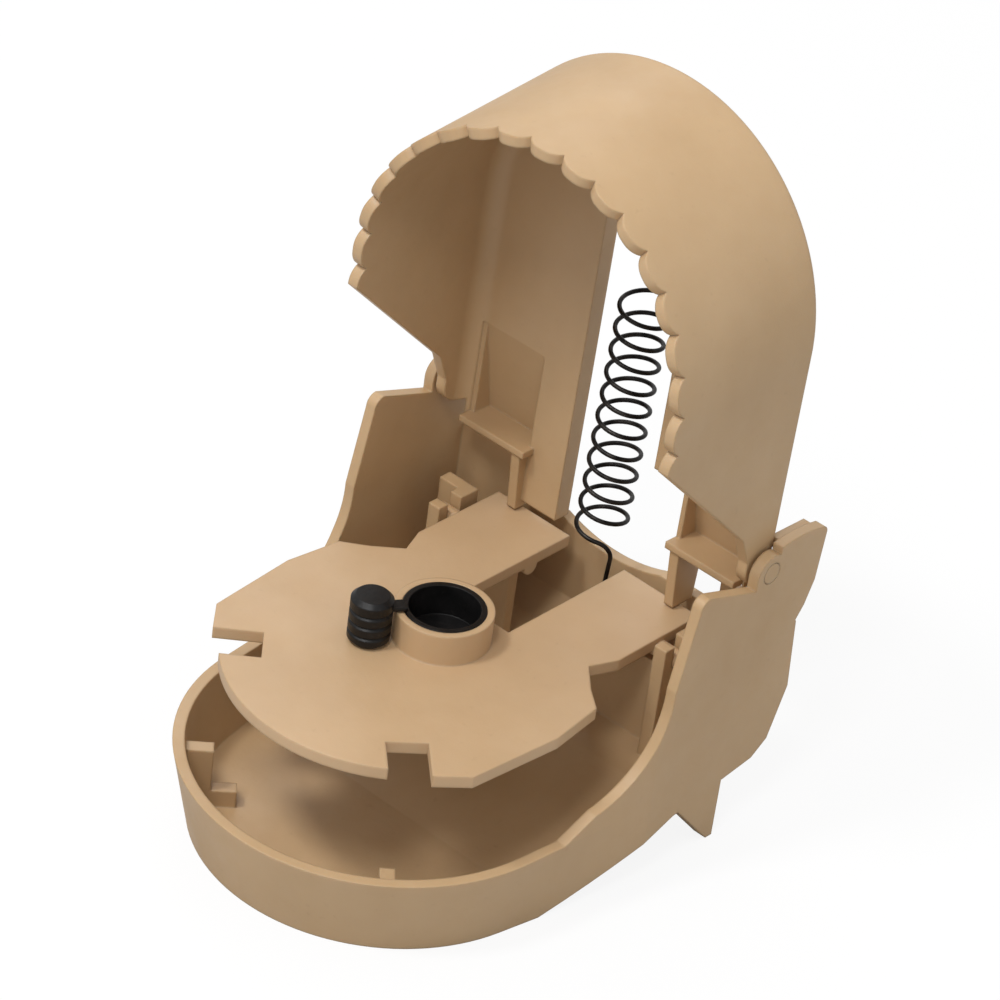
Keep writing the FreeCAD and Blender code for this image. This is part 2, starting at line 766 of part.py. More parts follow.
    tip = "(hinge_z - treadle_top - finger_gap)"
    near = "(plate_relief_x + finger_inset)"
    far = f"({near} + finger_thickness)"
    root_plan = box_corners(near, far, "-finger_front", "finger_back")
    tip_plan = box_corners(near, far, "finger_tip_front", "finger_tip_back")
    root_lift = "shelf_thickness / 2 - plate_bottom"
    finger_root = outline_sketch(body, "FingerRoot", "XY_Plane", root_plan, root_lift)
    finger_tip = outline_sketch(body, "FingerTip", "XY_Plane", tip_plan, f"-{tip}")
    finger = loft(body, "Finger", [finger_root, finger_tip])
    mirror(body, "OtherSide", [leg_trim, pin, shelf_opening, shelf_pad, inner_return, outer_return, finger])

    slot = [
        ("-slot_half_width", low),
        ("plate_relief_x", low),
        ("plate_relief_x", "plate_relief_top"),
        ("slot_half_width", "plate_relief_top"),
        ("slot_half_width", "slot_top"),
        ("-slot_half_width", "slot_top"),
    ]
    sketch = outline_sketch(body, "SlotOutline", "XZ_Plane", slot, behind)
    pocket(body, "Slot", sketch, "plate_thickness + 2 * root_depth", back=True)
    for side, sign, end in (("Left", "-", "-slot_rib_drop"), ("Right", "", "plate_relief_top")):
        rib = box_corners(f"{sign}slot_half_width", f"{sign}(slot_half_width + slot_rib)", end, "slot_top")
        sketch = outline_sketch(body, f"{side}RibOutline", "XZ_Plane", rib, "-slot_rib_back")
        pad(body, f"{side}Rib", sketch, f"slot_rib_back - {face}")
    tongue = box_corners(f"-{near}", "-slot_half_width", "-slot_rib_drop", "root_depth - plate_bottom")
    sketch = outline_sketch(body, "TongueOutline", "XZ_Plane", tongue, "-plate_back")
    pad(body, "Tongue", sketch, "plate_thickness")
    sketch = circle_sketch(
        body, "SpringBarOutline", "YZ_Plane", "spring_bar_back", "spring_bar_z", "spring_bar_radius",
        "spring_bar_end_x",
    )
    pad(body, "SpringBar", sketch, "slot_half_width + slot_rib / 2 - spring_bar_end_x")

    pitch = f"({half} * pi / tooth_count)"
    rim_arch = f"({arch} - jaw_depth * tan(jaw_rise))"
    gap_half = f"(({pitch} - tooth_crest) / 2)"
    flank = f"-(tooth_depth / 2 + {gap_half} ^ 2 / (2 * tooth_depth))"

    def tooth_gap(name, middle, turn, length, **options):
        """The notch between two rounded teeth, cut square to a line through the arch's centre."""
        gap = [
            (f"{middle} - {gap_half}", f"-({front} + overrun)"),
            (f"{middle} + {gap_half}", f"-({front} + overrun)"),
            (f"{middle} + {gap_half}", f"-{front}"),
            (middle, f"tooth_depth - {front}", flank),
            (f"{middle} - {gap_half}", f"-{front}", flank),
        ]
        sketch = outline_sketch(body, f"{name}Outline", "XY_Plane", gap, rim_arch, turn)
        return pocket(body, name, sketch, length, **options)

    arch_axis = new_sketch(body, "ArchAxis", "XZ_Plane")
    bind(arch_axis, "AttachmentOffset.Base.y", rim_arch)
    first_turn = "90 - 90 / tooth_count"
    first_gap = tooth_gap("ToothGap", "0", first_turn, f"{half} + overrun", back=True)
    pattern = body.newObject("PartDesign::PolarPattern", "ToothGaps")
    pattern.Originals = [first_gap]
    pattern.Axis = (arch_axis, ["N_Axis"])
    bind(pattern, "Angle", "180 - 180 / tooth_count")
    bind(pattern, "Occurrences", "tooth_count")
    body.Tip = pattern
    tooth_gap("LegToothGap", f"{pitch} / 2", "90", f"2 * ({half} + overrun)", both=True)
    return body


def treadle_corners():
    """Right half of the treadle's plan, from the front to the back of its window."""
    along = ("cos(notch_angle)", "-sin(notch_angle)")
    across = ("notch_half_width * sin(notch_angle)", "notch_half_width * cos(notch_angle)")

    def notch_point(radius, side):
        u = f"({radius}) * {along[0]} {side} {across[0]}"
        v = f"({radius}) * {along[1]} {side} {across[1]}"
        return (u, v)

    mouth = "sqrt(treadle_front_radius ^ 2 - notch_half_width ^ 2)"
    return [
        notch_point(mouth, "-") + ("treadle_front_radius",),
        notch_point("notch_inner", "-"),
        notch_point("notch_inner", "+"),
        notch_point("prong_radius", "+"),
        ("prong_tip_x", "-prong_tip_y"),
        ("side_front_x", "-side_front_y"),
        ("side_mid_x", "side_mid_y"),
        ("side_back_x", "side_back_y"),
        ("shoulder_x", "shoulder_y"),
        ("arm_neck_x", "arm_neck_y"),
        ("arm_outer_x", "arm_outer_y"),
        ("arm_outer_x", "arm_end_y"),
        ("window_half_width", "arm_end_y"),
        ("window_half_width", "window_front_y"),
    ]


def make_treadle():
    """Treadle: a plate with two rear arms, a ring for the bait pot and two pivot pins."""
    body = new_body("treadle")
    under = "treadle_top - treadle_thickness"
    sketch = new_sketch(body, "PlatePlan", "XY_Plane", under)
    right = treadle_corners()
    start = ("0", "-treadle_front_radius", "treadle_front_radius")
    left = both_sides(right)[len(right):]
    add_outline(sketch, [start] + right + left)
    pad(body, "Plate", sketch, "treadle_thickness")
    sketch = circle_sketch(body, "RingPlan", "XY_Plane", "0", "pot_y", "boss_radius", under)
    pad(body, "Ring", sketch, f"boss_top - ({under})")
    bore = "pot_radius + pot_play"
    sketch = circle_sketch(body, "RingBorePlan", "XY_Plane", "0", "pot_y", bore, "boss_top + root_depth")
    pocket(body, "RingBore", sketch, f"boss_top + root_depth - ({under}) - pot_seat")
    sketch = circle_sketch(
        body, "PinOutline", "YZ_Plane", "treadle_pivot_y",
        "treadle_top - treadle_thickness - treadle_pin_drop", "treadle_pin_radius",
    )
    pad(body, "Pins", sketch, "2 * (bearing_inner_x + bearing_thickness + treadle_pin_end)", both=True)
    window = box_corners("-window_half_width", "window_half_width", "window_front_y", "arm_end_y + overrun")
    sketch = outline_sketch(body, "WindowPlan", "XY_Plane", window, "treadle_top + overrun")
    pocket(body, "Window", sketch, "treadle_thickness + 2 * overrun")
    return body


def make_pot():
    """Bait pot: a round cup that stands in the treadle's ring."""
    seat = "treadle_top - treadle_thickness + pot_seat + pot_play"
    body = new_body("bait_pot", "0", "pot_y", seat)
    height = f"(boss_top + pot_play - ({seat}))"
    sketch = circle_sketch(body, "CupPlan", "XY_Plane", "0", "0", "pot_radius")
    pad(body, "Cup", sketch, height)
    sketch = circle_sketch(body, "CupBorePlan", "XY_Plane", "0", "0", "pot_radius - pot_wall", height)
    pocket(body, "CupBore", sketch, f"{height} - pot_floor")
    return body


def make_cap():
    """Bait cap: a grooved plug that stands beside the pot, with the strap that ties it there."""
    body = new_body("bait_cap", "cap_x", "cap_y", "treadle_top + pot_play")
    bind(body, "Placement.Rotation.Axis.z", "1")
    bind(body, "Placement.Rotation.Angle", "atan2(pot_y - cap_y; -cap_x)")
    corners = [("0", "0"), ("cap_radius - cap_edge", "0"), ("cap_radius", "cap_edge")]
    for number in range(SIZES["cap_grooves"]):
        low = f"cap_edge + {number} * cap_groove_pitch + cap_groove_pitch / 2"
        corners += [
            ("cap_radius", low),
            ("cap_radius - cap_groove", f"{low} + cap_groove"),
            ("cap_radius", f"{low} + 2 * cap_groove"),
        ]
    corners += [
        ("cap_radius", "cap_height - cap_edge"),
        ("cap_radius - cap_edge", "cap_height"),
        ("0", "cap_height"),
    ]
    sketch = outline_sketch(body, "PlugProfile", "XZ_Plane", corners)
    plug = body.newObject("PartDesign::Revolution", "Plug")
    plug.Profile = sketch
    plug.ReferenceAxis = (sketch, ["V_Axis"])
    plug.Angle = 360
    level = "boss_top - treadle_top + strap_thickness / 2"
    reach = "(sqrt((pot_y - cap_y) ^ 2 + cap_x ^ 2) - pot_radius + pot_wall / 2)"
    strap = box_corners("0", reach, "-strap_width / 2", "strap_width / 2")
    sketch = outline_sketch(body, "StrapPlan", "XY_Plane", strap, level)
    pad(body, "Strap", sketch, "strap_thickness")
    return body


def biarc(start, start_way, end, end_way):
    """Two arcs that leave start and reach end along the given directions, or one straight line."""
    gap = end - start
    if (gap.normalize() - start_way).Length < SAME_WAY and (start_way - end_way).Length < SAME_WAY:
        return [Part.LineSegment(start, end).toShape()]
    gap = end - start
    # The arm length that makes both arcs meet on one tangent
    both = start_way + end_way
    a = 2 * (1 - start_way.dot(end_way))
    b = 2 * gap.dot(both)
    c = -gap.dot(gap)
    arm = -c / b if abs(a) < SAME_WAY ** 2 else (-b + math.sqrt(b * b - 4 * a * c)) / (2 * a)
    first_knee = start + start_way * arm
    last_knee = end - end_way * arm
    meeting = (first_knee + last_knee) * 0.5
    edges = []
    for low, knee, high in ((start, first_knee, meeting), (meeting, last_knee, end)):
        weight = (high - low).Length / (2 * arm)
        middle = (low + knee * (2 * weight) + high) * (0.5 / (1 + weight))
        edges.append(Part.Arc(low, middle, high).toShape())
    return edges


def spring_stations():
    """Points of the wire with its directions: lower hook, tail, coils, neck and upper hook."""
    post = FreeCAD.Vector(SIZES["spring_post_x"], SIZES["spring_post_y"], SIZES["spring_post_z"])
    lean = math.radians(SIZES["jaw_lean"])
    back, reach = SIZES["spring_bar_back"], SIZES["spring_bar_z"]
    bar = FreeCAD.Vector(
        SIZES["spring_top_x"],
        SIZES["hinge_y"] + back * math.cos(lean) + reach * math.sin(lean),
        SIZES["hinge_z"] - back * math.sin(lean) + reach * math.cos(lean),
    )
    low = FreeCAD.Vector(SIZES["coil_low_x"], SIZES["coil_low_y"], SIZES["coil_low_z"])
    high = FreeCAD.Vector(SIZES["coil_high_x"], SIZES["coil_high_y"], SIZES["coil_high_z"])
    axis = (high - low).normalize()
    side = FreeCAD.Vector(1, 0, 0)
    side = (side - axis * side.dot(axis)).normalize()
    depth = axis.cross(side)
    radius = SIZES["coil_radius"]
    turns = SIZES["coil_turns"]
    pitch = (high - low).Length / turns

    def on_coil(turn):
        angle = math.pi - 2 * math.pi * turn
        out = side * math.cos(angle) + depth * math.sin(angle)
        along = side * math.sin(angle) - depth * math.cos(angle)
        point = low + axis * (pitch * turn) + out * radius
        way = along * radius + axis * (pitch / 2 / math.pi)
        return point, way.normalize()

    coils = [on_coil(-SIZES["coil_low_lead"])]
    coils += [on_coil(step / 2) for step in range(2 * turns + 1)]
    coils.append(on_coil(turns + SIZES["coil_high_lead"]))
    up = FreeCAD.Vector(0, 0, 1)
    ahead = FreeCAD.Vector(0, -1, 0)
    lower = SIZES["spring_peg_radius"] + SIZES["wire_radius"] + SIZES["spring_play"]
    upper = SIZES["spring_bar_radius"] + SIZES["wire_radius"] + SIZES["spring_play"]
    tail_foot = post - ahead * lower + up * lower
    tail_head = FreeCAD.Vector(SIZES["tail_bend_x"], SIZES["tail_bend_y"], SIZES["tail_bend_z"])
    tail_way = (tail_head - tail_foot).normalize()
    lower_hook = [
        (post + ahead * lower, -up),
        (post - up * lower, -ahead),
        (post - ahead * lower, up),
    ]
    upper_hook = [
        (bar - ahead * upper, up),
        (bar + up * upper, ahead),
        (bar + ahead * upper, -up),
    ]
    tail = [(tail_foot + tail_way * lower, tail_way), (tail_head, tail_way)]
    neck = [(bar - ahead * upper - up * upper, up)]
    return lower_hook + tail + coils + neck + upper_hook


def least_gap(points, wire):
    """The least clear gap between stretches of wire that aren't neighbours along it."""
    travelled = [0.0]
    for before, after in zip(points, points[1:]):
        travelled.append(travelled[-1] + (after - before).Length)
    least = math.inf
    # Stretches nearer than a tight bend of the wire are neighbours
    apart = math.pi * (SIZES["spring_peg_radius"] + 2 * wire)
    for index, point in enumerate(points):
        for other in range(index + 1, len(points)):
            if travelled[other] - travelled[index] > apart:
                least = min(least, (points[other] - point).Length - 2 * wire)
    return least


def make_spring():
    """Tension spring: one unbroken wire with its coils and two hooks."""
    stations = spring_stations()
    edges = []
    for before, after in zip(stations, stations[1:]):
        edges += biarc(*before, *after)
    path = Part.Wire(edges)
    wire = SIZES["wire_radius"]
    start, way = stations[0]
    profile = Part.Wire([Part.Circle(start, way, wire).toShape()])
    tube = path.makePipeShell([profile], True, False)
    solid = tube if tube.ShapeType == "Solid" else tube.Solids[0]
    samples = [point for edge in edges for point in edge.discretize(ARC_SAMPLES + 1)[:-1]]
    print("spring: wire length", round(path.Length, 2))
    ideal = math.pi * wire ** 2 * path.Length
    print("spring: volume over section times length", round(solid.Volume / ideal, 4))
    print("spring: least gap to itself", round(least_gap(samples, wire), 3))
    feature = DOC.addObject("Part::Feature", "main_spring")
    feature.Label = "main_spring"
    feature.Shape = solid
    shift = value("(ear_tip_y - tray_rim_radius) / 2")
    feature.Placement = FreeCAD.Placement(FreeCAD.Vector(0, -shift, 0), FreeCAD.Rotation())
    return feature


def check_document(pieces):
    """Stops the run if any feature failed or any piece isn't a sound solid."""
    for item in DOC.Objects:
        if {"Invalid", "Error"} & set(item.State):
            raise RuntimeError(f"{item.Name} failed: {item.State}")
    for piece in pieces:
        shape = piece.Shape
        if shape.isNull() or not shape.isValid() or len(shape.Solids) != 1:
            raise RuntimeError(f"{piece.Label} isn't one sound solid")


def main():
    fill_sheet()
    pieces = [make_tray(), make_jaw(), make_treadle(), make_pot(), make_cap(), make_spring()]
    DOC.recompute()
    check_document(pieces)
    os.makedirs("parts", exist_ok=True)
    for piece in pieces:
        box = piece.Shape.BoundBox
        print(piece.Label, "volume", round(piece.Shape.Volume, 1), "box",
              [round(edge, 2) for edge in (box.XMin, box.XMax, box.YMin, box.YMax, box.ZMin, box.ZMax)])
        piece.Shape.exportStep(f"parts/{piece.Label}.step")


main()
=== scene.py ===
import math

import bpy
from mathutils import Matrix, Vector


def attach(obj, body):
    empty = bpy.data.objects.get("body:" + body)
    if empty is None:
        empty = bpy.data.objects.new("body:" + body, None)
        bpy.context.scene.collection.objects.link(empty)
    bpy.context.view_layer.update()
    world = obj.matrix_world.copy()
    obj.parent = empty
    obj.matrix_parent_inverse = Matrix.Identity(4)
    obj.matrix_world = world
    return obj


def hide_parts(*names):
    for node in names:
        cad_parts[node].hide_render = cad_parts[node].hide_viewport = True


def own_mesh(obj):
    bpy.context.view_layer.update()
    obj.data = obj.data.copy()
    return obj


# Snap trap for mice. Sizes of the trap and its textures are in millimetres, and turned into
# metres where they are used. The floor, the lamps and the world are in metres.
# X is across the trap, Y runs from its round front to its back, and Z is up from the table.

MM = 0.001

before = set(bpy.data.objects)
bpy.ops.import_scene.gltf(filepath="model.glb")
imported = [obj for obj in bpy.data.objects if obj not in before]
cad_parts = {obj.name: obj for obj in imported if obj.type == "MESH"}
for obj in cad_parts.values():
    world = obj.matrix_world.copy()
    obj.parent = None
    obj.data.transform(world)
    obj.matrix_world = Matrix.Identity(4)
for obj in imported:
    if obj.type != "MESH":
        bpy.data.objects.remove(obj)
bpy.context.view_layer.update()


# Materials

# Colour sockets of a Mix node. Its sockets for other kinds of value have the same names.
MIX_FIRST = 6
MIX_SECOND = 7
MIX_RESULT = 2
BEVEL_SAMPLES = 6


class Nodes:
    """A material's node tree with short calls for the nodes that the plastics and metals share."""

    def __init__(self, name):
        self.material = bpy.data.materials.new(name)
        self.material.use_nodes = True
        self.tree = self.material.node_tree
        self.tree.nodes.clear()
        self.output = self.tree.nodes.new("ShaderNodeOutputMaterial")
        self.shader = self.tree.nodes.new("ShaderNodeBsdfPrincipled")
        self.link(self.shader.outputs["BSDF"], self.output.inputs["Surface"])
        self.place = self.tree.nodes.new("ShaderNodeTexCoord").outputs["Object"]

    def link(self, source, target):
        self.tree.links.new(source, target)

    def set(self, **values):
        """Sets the shader's own sockets, an underscore standing for each space in a name."""
        for name, value in values.items():
            self.shader.inputs[name.replace("_", " ")].default_value = value

    def noise(self, size, detail=4.0, roughness=0.5, stretch=(1, 1, 1)):
        """Noise whose features are about size millimetres wide."""
        mapping = self.tree.nodes.new("ShaderNodeMapping")
        mapping.inputs["Scale"].default_value = [axis / (size * MM) for axis in stretch]
        self.link(self.place, mapping.inputs["Vector"])
        noise = self.tree.nodes.new("ShaderNodeTexNoise")
        noise.inputs["Scale"].default_value = 1.0
        noise.inputs["Detail"].default_value = detail
        noise.inputs["Roughness"].default_value = roughness
        self.link(mapping.outputs["Vector"], noise.inputs["Vector"])
        return noise.outputs["Fac"]

    def span(self, source, old, new):
        """Maps the part of a value between the old limits onto the new ones."""
        node = self.tree.nodes.new("ShaderNodeMapRange")
        for name, value in zip(("From Min", "From Max", "To Min", "To Max"), (*old, *new)):
            node.inputs[name].default_value = value
        self.link(source, node.inputs["Value"])
        return node.outputs["Result"]

    def ramp(self, source, stops):
        """Turns a value into a colour, from (position, colour) pairs."""
        node = self.tree.nodes.new("ShaderNodeValToRGB")
        for element, (position, color) in zip(node.color_ramp.elements, stops):
            element.position = position
            element.color = (*color, 1)
        self.link(source, node.inputs["Fac"])
        return node.outputs["Color"]

    def mix(self, factor, first, second):
        """Blends the colour first into the colour second as the factor grows."""
        node = self.tree.nodes.new("ShaderNodeMix")
        node.data_type = "RGBA"
        self.link(factor, node.inputs["Factor"])
        self.link(first, node.inputs[MIX_FIRST])
        node.inputs[MIX_SECOND].default_value = (*second, 1)
        return node.outputs[MIX_RESULT]

    def bump(self, heights, edge=0.0):
        """Bumps from (height source, depth in millimetres) pairs, over an edge rounded by edge."""
        normal = None
        if edge:
            bevel = self.tree.nodes.new("ShaderNodeBevel")
            bevel.samples = BEVEL_SAMPLES
            bevel.inputs["Radius"].default_value = edge * MM
            normal = bevel.outputs["Normal"]
        for source, depth in heights:
            node = self.tree.nodes.new("ShaderNodeBump")
            node.inputs["Strength"].default_value = 1.0
            node.inputs["Distance"].default_value = depth * MM
            self.link(source, node.inputs["Height"])
            if normal is not None:
                self.link(normal, node.inputs["Normal"])
            normal = node.outputs["Normal"]
        self.link(normal, self.shader.inputs["Normal"])


STREAK_GAIN = 1.13
SPECK_GAIN = 0.72
WARM_SPREAD = (1.0, 0.55, 0.25)


def moulded_plastic(name, pale, deep):
    """Cream polystyrene: cloudy flow marks, a faint orange peel, and warm light under the skin."""
    nodes = Nodes(name)
    cloud = nodes.noise(26, detail=5, roughness=0.62)
    tone = nodes.ramp(cloud, [(0.32, deep), (0.68, pale)])
    flow = nodes.noise(9, detail=3, stretch=(1, 1, 0.35))
    streak = nodes.span(flow, (0.42, 0.70), (0.0, 0.22))
    tone = nodes.mix(streak, tone, tuple(channel * STREAK_GAIN for channel in pale))
    specks = nodes.span(nodes.noise(0.9, detail=2), (0.66, 0.78), (0.0, 0.16))
    tone = nodes.mix(specks, tone, tuple(channel * SPECK_GAIN for channel in deep))
    nodes.link(tone, nodes.shader.inputs["Base Color"])
    rough = nodes.span(nodes.noise(5, detail=4), (0.3, 0.7), (0.40, 0.54))
    nodes.link(rough, nodes.shader.inputs["Roughness"])
    peel = nodes.noise(1.6, detail=3)
    grain = nodes.noise(0.28, detail=2)
    nodes.bump([(peel, 0.03), (grain, 0.006)], edge=0.35)
    nodes.set(Subsurface_Weight=0.14, Subsurface_Radius=WARM_SPREAD, Subsurface_Scale=1.6 * MM)
    nodes.set(Specular_IOR_Level=0.55, IOR=1.5)
    return nodes.material


def black_plastic(name):
    """Black polythene: soft, a little waxy, with dusty scuffs."""
    nodes = Nodes(name)
    cloud = nodes.noise(3.2, detail=5)
    tone = nodes.ramp(cloud, [(0.3, (0.003, 0.003, 0.003)), (0.7, (0.009, 0.008, 0.008))])
    dust = nodes.span(nodes.noise(0.5, detail=3), (0.60, 0.80), (0.0, 0.3))
    tone = nodes.mix(dust, tone, (0.04, 0.036, 0.032))
    nodes.link(tone, nodes.shader.inputs["Base Color"])
    rough = nodes.span(cloud, (0.3, 0.7), (0.32, 0.5))
    nodes.link(rough, nodes.shader.inputs["Roughness"])
    nodes.bump([(nodes.noise(0.8, detail=3), 0.03)], edge=0.2)
    nodes.set(Specular_IOR_Level=0.28, IOR=1.5)
    return nodes.material


def spring_wire(name):
    """Dark drawn wire: near-black oil film over steel, with drawing lines."""
    nodes = Nodes(name)
    film = nodes.noise(1.3, detail=4)
    tone = nodes.ramp(film, [(0.35, (0.010, 0.009, 0.009)), (0.75, (0.045, 0.040, 0.036))])
    nodes.link(tone, nodes.shader.inputs["Base Color"])
    rough = nodes.span(nodes.noise(0.35, detail=3), (0.3, 0.7), (0.28, 0.5))
    nodes.link(rough, nodes.shader.inputs["Roughness"])
    nodes.bump([(nodes.noise(0.12, detail=2, stretch=(1, 1, 3)), 0.008)])
    nodes.set(Metallic=0.85)
    return nodes.material


CREAM = (0.505, 0.345, 0.192)
CREAM_DEEP = (0.45, 0.295, 0.152)
TREADLE_CREAM = (0.52, 0.355, 0.205)
TREADLE_DEEP = (0.47, 0.31, 0.168)
spring_steel = spring_wire("spring_steel")

NODE_MATERIALS = {
    "base_tray": moulded_plastic("tray_plastic", CREAM, CREAM_DEEP),
    "jaw": moulded_plastic("jaw_plastic", CREAM, CREAM_DEEP),
    "treadle": moulded_plastic("treadle_plastic", TREADLE_CREAM, TREADLE_DEEP),
    "bait_pot": black_plastic("bait_plastic"),
    "bait_cap": black_plastic("cap_plastic"),
    "main_spring": spring_steel,
}
for node, material in NODE_MATERIALS.items():
    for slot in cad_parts[node].material_slots:
        slot.material = material


# Spring

WIRE_RADIUS = 0.25
COIL_RADIUS = 2.7
COIL_TURNS = 10
# Parts of a turn by which the coils run on past their two ends
COIL_LOW_LEAD = 0.35
COIL_HIGH_LEAD = 0.25
COIL_LOW = (0.1, 23.1, 25.9)
COIL_HIGH = (0.2, 24.65, 52.9)
TAIL_BEND = (3.0, 21.75, 23.3)
# The tray's peg under the lower hook
PEG = (1.8, 21.05, 11.0)
PEG_RADIUS = 0.9
# The jaw's bar under the upper hook, from the hinge's axis: back and up, leaning with the jaw
HINGE = (0.0, 21.65, 33.4)
LEAN = math.radians(1.7)
BAR_LOCAL = (2.7, 24.1)
BAR_RADIUS = 0.8
BAR_X = 4.6
# Room between a hook and what it hangs on
PLAY = 0.1
STEPS_PER_TURN = 44
STEPS_PER_RUN = 14
RUN_FULLNESS = 1.17
SIDES = 14
# Widths of the rings in each domed end, as shares of the wire's own
DOME_SHARES = (0.97, 0.8, 0.45)


def hermite(start, start_way, end, end_way):
    """Points of a smooth run from start to end, without the last one."""
    reach = (end - start).length * RUN_FULLNESS
    points = []
    for step in range(STEPS_PER_RUN):
        t = step / STEPS_PER_RUN
        points.append(
            start * (2 * t ** 3 - 3 * t ** 2 + 1)
            + start_way * (reach * (t ** 3 - 2 * t ** 2 + t))
            + end * (3 * t ** 2 - 2 * t ** 3)
            + end_way * (reach * (t ** 3 - t ** 2))
        )
    return points


def smooth_runs(stations):
    """Points along smooth runs between (point, direction) pairs, without the last point."""
    points = []
    for first, last in zip(stations, stations[1:]):
        points += hermite(*first, *last)
    return points


def bar_centre():
    """The middle of the jaw's bar, with the jaw open."""
    back, reach = BAR_LOCAL
    return Vector((
        BAR_X,
        HINGE[1] + back * math.cos(LEAN) + reach * math.sin(LEAN),
        HINGE[2] - back * math.sin(LEAN) + reach * math.cos(LEAN),
    ))


def spring_line(post, bar):
    """The middle line of the wire: lower hook, tail, coils, neck and upper hook."""
    low = Vector(COIL_LOW)
    high = Vector(COIL_HIGH)
    axis = (high - low).normalized()
    across = Vector((1, 0, 0))
    side = (across - axis * across.dot(axis)).normalized()
    depth = axis.cross(side)
    pitch = (high - low).length / COIL_TURNS

    def on_coil(turn):
        angle = math.pi - 2 * math.pi * turn
        spoke = side * math.cos(angle) + depth * math.sin(angle)
        along = side * math.sin(angle) - depth * math.cos(angle)
        way = along * COIL_RADIUS + axis * (pitch / (2 * math.pi))
        return low + axis * (pitch * turn) + spoke * COIL_RADIUS, way.normalized()

    up = Vector((0, 0, 1))
    ahead = Vector((0, -1, 0))
    lower = PEG_RADIUS + WIRE_RADIUS + PLAY
    upper = BAR_RADIUS + WIRE_RADIUS + PLAY
    tail_foot = post - ahead * lower + up * lower
    tail_head = Vector(TAIL_BEND)
    tail_way = (tail_head - tail_foot).normalized()
    before = [
        (post + ahead * lower, -up),
        (post - up * lower, -ahead),
        (post - ahead * lower, up),
        (tail_foot + tail_way * lower, tail_way),
        (tail_head, tail_way),
        on_coil(-COIL_LOW_LEAD),
    ]
    after = [
        on_coil(COIL_TURNS + COIL_HIGH_LEAD),
        (bar - ahead * upper - up * upper, up),
        (bar - ahead * upper, up),
        (bar + up * upper, ahead),
        (bar + ahead * upper, -up),
    ]
    span = COIL_TURNS + COIL_LOW_LEAD + COIL_HIGH_LEAD
    count = round(span * STEPS_PER_TURN)
    coils = [on_coil(span * step / count - COIL_LOW_LEAD)[0] for step in range(count)]
    return smooth_runs(before) + coils + smooth_runs(after) + [after[-1][0]]


def tube_rings(line, radius):
    """Rings (middle, direction, spoke, radius) along a line, with a dome at each end."""
    ways = []
    for index in range(len(line)):
        ways.append((line[min(index + 1, len(line) - 1)] - line[max(index - 1, 0)]).normalized())
    spoke = ways[0].orthogonal().normalized()
    rings = []
    for point, way in zip(line, ways):
        spoke = (spoke - way * spoke.dot(way)).normalized()
        rings.append((point, way, spoke, radius))
    domes = [(radius * share, radius * math.sqrt(1 - share ** 2)) for share in DOME_SHARES]
    point, way, spoke, _ = rings[0]
    front = [(point - way * lift, way, spoke, size) for lift, size in domes]
    point, way, spoke, _ = rings[-1]
    rear = [(point + way * lift, way, spoke, size) for lift, size in reversed(domes)]
    return front + rings + rear


def tube(name, line, radius, sides):
    """A round tube along a line, closed with domed ends."""
    rings = tube_rings(line, radius)
    vertices = []
    for point, way, spoke, size in rings:
        other = way.cross(spoke)
        for number in range(sides):
            angle = 2 * math.pi * number / sides
            vertices.append((point + (spoke * math.cos(angle) + other * math.sin(angle)) * size) * MM)
    faces = []
    for ring in range(len(rings) - 1):
        for number in range(sides):
            a = ring * sides + number
            b = ring * sides + (number + 1) % sides
            faces.append((a, b, b + sides, a + sides))
    last = (len(rings) - 1) * sides
    faces.append(tuple(reversed(range(sides))))
    faces.append(tuple(range(last, last + sides)))
    mesh = bpy.data.meshes.new(name)
    mesh.from_pydata([tuple(vertex) for vertex in vertices], [], faces)
    mesh.validate()
    for polygon in mesh.polygons:
        polygon.use_smooth = True
    piece = bpy.data.objects.new(name, mesh)
    bpy.context.scene.collection.objects.link(piece)
    return piece


post = Vector(PEG)
bar = bar_centre()
spring = tube("spring_wire", spring_line(post, bar), WIRE_RADIUS, SIDES)
spring.data.materials.append(spring_steel)
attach(spring, "spring")
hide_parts("main_spring")
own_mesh(spring)


# Floor and light

FLOOR_SIZE = 6.0
FLOOR_TONE = (0.50, 0.50, 0.50, 1)
FLOOR_GLOW = 1.1
FLOOR_GLOW_SHARE = 0.80
WHITE = (1, 1, 1, 1)
WORLD_STRENGTH = 0.70
MIDDLE = (0, 0, 0.03)


def floor_material():
    """A table that the camera sees nearly white, with a faint shadow, and that sheds less light."""
    material = bpy.data.materials.new("floor_white")
    material.use_nodes = True
    tree = material.node_tree
    shader = tree.nodes["Principled BSDF"]
    shader.inputs["Base Color"].default_value = FLOOR_TONE
    shader.inputs["Roughness"].default_value = 0.9
    shader.inputs["Specular IOR Level"].default_value = 0.0
    glow = tree.nodes.new("ShaderNodeEmission")
    glow.inputs["Strength"].default_value = FLOOR_GLOW
    path = tree.nodes.new("ShaderNodeLightPath")
    share = tree.nodes.new("ShaderNodeMath")
    share.operation = "MULTIPLY"
    share.inputs[1].default_value = FLOOR_GLOW_SHARE
    blend = tree.nodes.new("ShaderNodeMixShader")
    tree.links.new(path.outputs["Is Camera Ray"], share.inputs[0])
    tree.links.new(share.outputs[0], blend.inputs["Fac"])
    tree.links.new(shader.outputs["BSDF"], blend.inputs[1])
    tree.links.new(glow.outputs["Emission"], blend.inputs[2])
    tree.links.new(blend.outputs[0], tree.nodes["Material Output"].inputs["Surface"])
    return material


